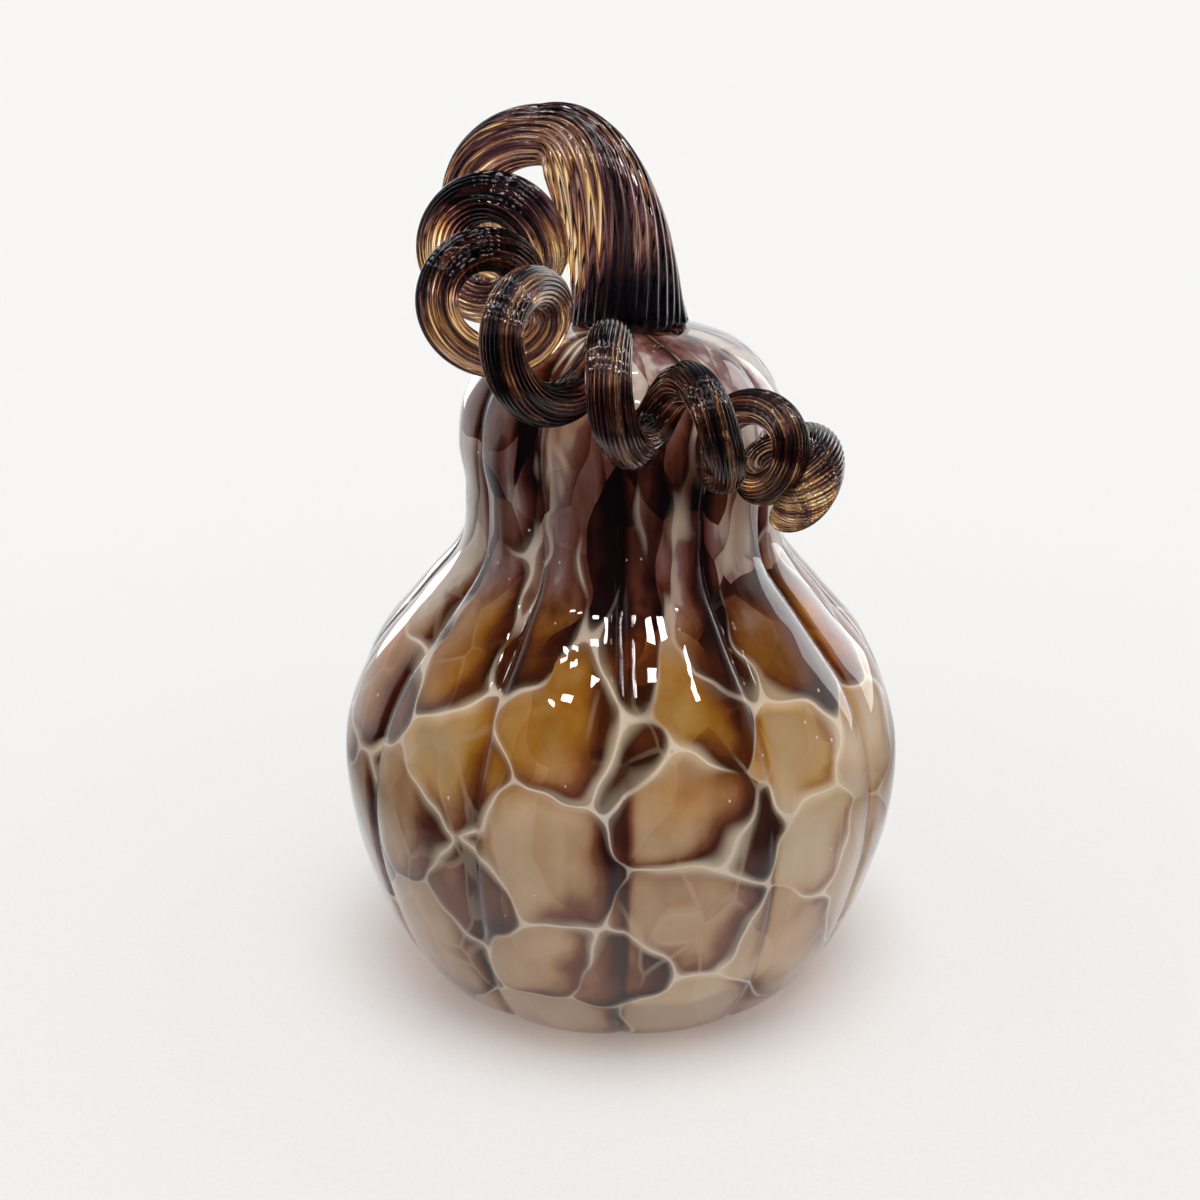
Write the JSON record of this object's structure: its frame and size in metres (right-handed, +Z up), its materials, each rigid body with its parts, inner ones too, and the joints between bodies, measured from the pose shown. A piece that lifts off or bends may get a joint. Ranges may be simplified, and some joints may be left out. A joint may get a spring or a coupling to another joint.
{
  "type": "blown glass gourd",
  "caption": "Ornamental hollow gourd of blown, lobed glass with a narrow neck and a solid ribbed stem that arches over and curls round the neck.",
  "frame": {"origin": "centre of the flat foot that the gourd stands on, on the body's axis", "axes": "+Z up along the body's axis; -Y is the front, where the curl of the stem hangs; +X is to the right seen from the front"},
  "size_m": [0.1484, 0.1484, 0.2324],
  "materials": {
    "body_glass": "glossy blown glass, brown and taupe cells in pale veins under a clear casing, dark amethyst on the neck",
    "stem_glass": "glossy transparent amber glass with amethyst streaks, finely ribbed"
  },
  "bodies": {
    "root": {"gourd_body": "body_glass", "curled_stem": "stem_glass"}
  },
  "joints": []
}
